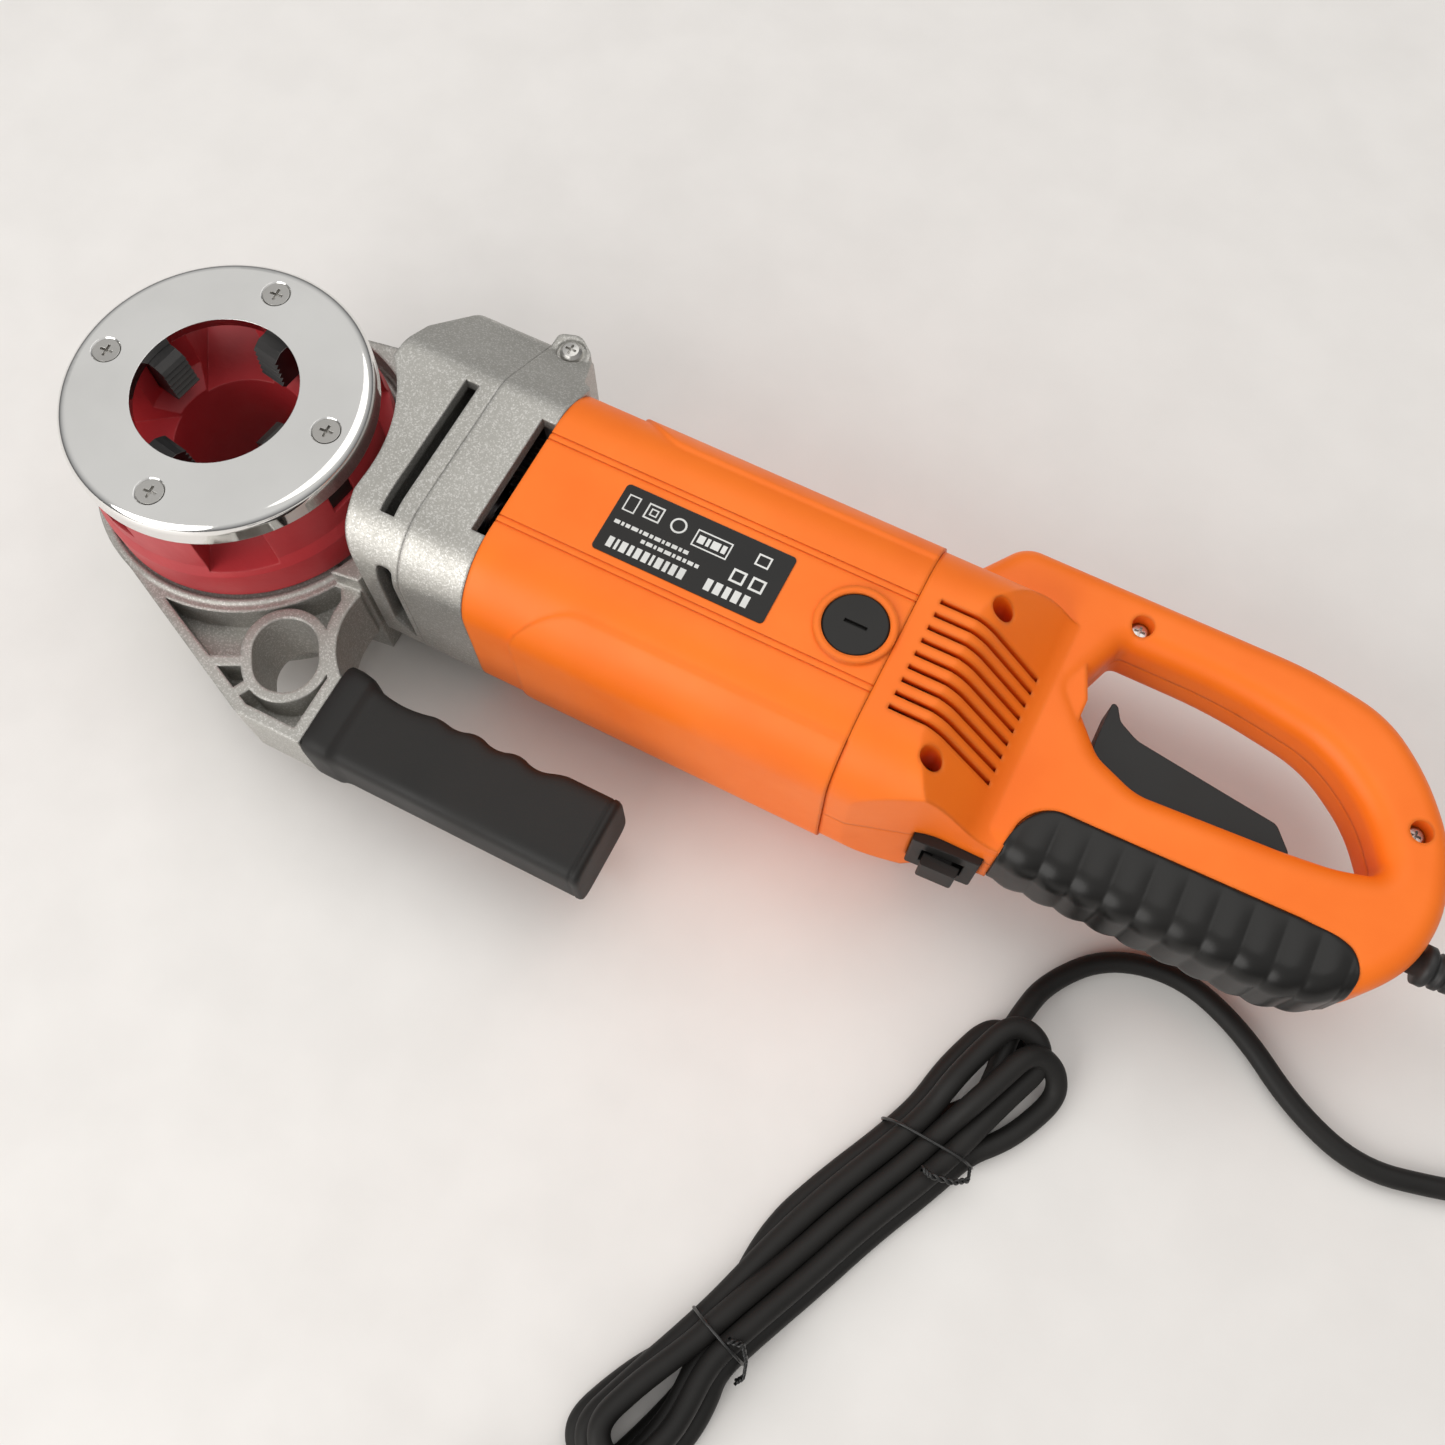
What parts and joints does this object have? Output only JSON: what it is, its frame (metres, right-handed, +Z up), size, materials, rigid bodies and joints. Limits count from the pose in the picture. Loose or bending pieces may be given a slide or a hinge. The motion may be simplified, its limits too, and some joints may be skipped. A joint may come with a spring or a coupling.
{
  "type": "pipe threading machine",
  "caption": "Hand-held electric pipe threading machine: motor, gear casing, drive ring with a round die head, front grip, and a D-shaped rear handle with a trigger.",
  "frame": {"origin": "on the die head's axis, in the plane the machine rests on", "axes": "+Z up along the die head's axis, +X along the motor to the rear handle, -Y towards the front grip"},
  "size_m": [0.6167, 0.4209, 0.095],
  "materials": {
    "orange_plastic": "satin moulded plastic",
    "cast_aluminium": "silver painted casting",
    "chrome_plate": "polished, worn",
    "red_paint": "satin paint",
    "black_steel": "blackened tool steel",
    "plated_steel": "zinc plated",
    "gear_steel": "machined steel",
    "bronze": "bronze and brass",
    "copper_winding": "copper",
    "lamination_steel": "varnished laminations",
    "carbon": "carbon block",
    "black_plastic": "moulded plastic",
    "black_rubber": "matte rubber",
    "tie_wire": "coated wire",
    "label_film": "printed film"
  },
  "bodies": {
    "base": {"armature_bearings": "gear_steel", "bearing_bridge": "black_plastic", "bevel_shaft_bearing": "gear_steel", "brush_cap_bottom": "black_plastic", "brush_cap_top": "black_plastic", "brush_holders": "bronze", "brush_springs": "gear_steel", "carbon_brushes": "carbon", "cord_gland": "black_rubber", "cord_hank": "black_rubber", "cord_ties": "tie_wire", "cord_tube": "black_rubber", "direction_switch_plate": "black_plastic", "fan_housing": "cast_aluminium", "field_coils": "copper_winding", "front_bearing_plate": "cast_aluminium", "front_grip": "black_rubber", "gear_bearings": "gear_steel", "gear_housing": "cast_aluminium", "handle_screws": "plated_steel", "internal_leads": "black_rubber", "lug_screw": "plated_steel", "motor_housing": "orange_plastic", "motor_screws": "plated_steel", "pinion_bush": "bronze", "plug": "black_plastic", "rating_label": "label_film", "rear_bearing_plate": "cast_aluminium", "rear_handle_bottom": "orange_plastic", "rear_handle_top": "orange_plastic", "ring_bush_lower": "bronze", "ring_bush_upper": "bronze", "ring_cover": "cast_aluminium", "ring_cover_screws": "plated_steel", "rubber_grip_panel": "black_rubber", "stator": "lamination_steel", "switch_body": "black_plastic", "trigger_pin": "plated_steel", "trigger_spring": "gear_steel"},
    "armature": {"armature_shaft": "gear_steel", "armature_core": "lamination_steel", "commutator": "copper_winding", "fan": "black_plastic"},
    "layshaft_unit": {"layshaft": "gear_steel", "first_gear": "gear_steel"},
    "bevel_shaft_unit": {"bevel_pinion_shaft": "gear_steel", "second_gear": "gear_steel"},
    "upright_unit": {"pinion_shaft": "gear_steel", "bevel_gear": "gear_steel"},
    "ring_unit": {"drive_ring": "gear_steel", "snap_ring": "gear_steel"},
    "die_head": {"die_head_body": "red_paint", "cover_plate": "chrome_plate", "cover_screws": "plated_steel", "dies": "black_steel"},
    "trigger_unit": {"trigger": "black_plastic"},
    "direction_unit": {"direction_slider": "black_plastic"}
  },
  "joints": [
    {"name": "armature_spin", "type": "hinge", "parent": "base", "child": "armature", "pos_m": [0.17, 0.0205, 0.046], "axis": [1, 0, 0], "continuous": true},
    {"name": "layshaft_spin", "type": "hinge", "parent": "base", "child": "layshaft_unit", "pos_m": [0.09, 0.04925, 0.046], "axis": [1, 0, 0], "continuous": true},
    {"name": "bevel_shaft_spin", "type": "hinge", "parent": "base", "child": "bevel_shaft_unit", "pos_m": [0.085, 0.0205, 0.046], "axis": [1, 0, 0], "continuous": true},
    {"name": "upright_spin", "type": "hinge", "parent": "base", "child": "upright_unit", "pos_m": [0.05745, 0.0205, 0.03], "axis": [0, 0, 1], "continuous": true},
    {"name": "drive_ring_spin", "type": "hinge", "parent": "base", "child": "ring_unit", "pos_m": [0, 0, 0.03], "axis": [0, 0, 1], "continuous": true},
    {"name": "die_head_lift", "type": "slide", "parent": "ring_unit", "child": "die_head", "axis": [0, 0, 1], "range_m": [0, 0.055]},
    {"name": "trigger_pull", "type": "hinge", "parent": "base", "child": "trigger_unit", "pos_m": [0.384, 0.024, 0.046], "axis": [0, 0, 1], "range_deg": [0, 7], "stiffness_Nm_per_rad": 2, "springref_deg": -6.88},
    {"name": "direction_slide", "type": "slide", "parent": "base", "child": "direction_unit", "axis": [1, 0, 0], "range_m": [-0.0038, 0.0038]}
  ],
  "couplings": [
    {"joint": "layshaft_spin", "follows": "armature_spin", "ratio": -0.24324},
    {"joint": "bevel_shaft_spin", "follows": "armature_spin", "ratio": 0.067568},
    {"joint": "upright_spin", "follows": "armature_spin", "ratio": 0.047297},
    {"joint": "drive_ring_spin", "follows": "armature_spin", "ratio": -0.01281}
  ]
}
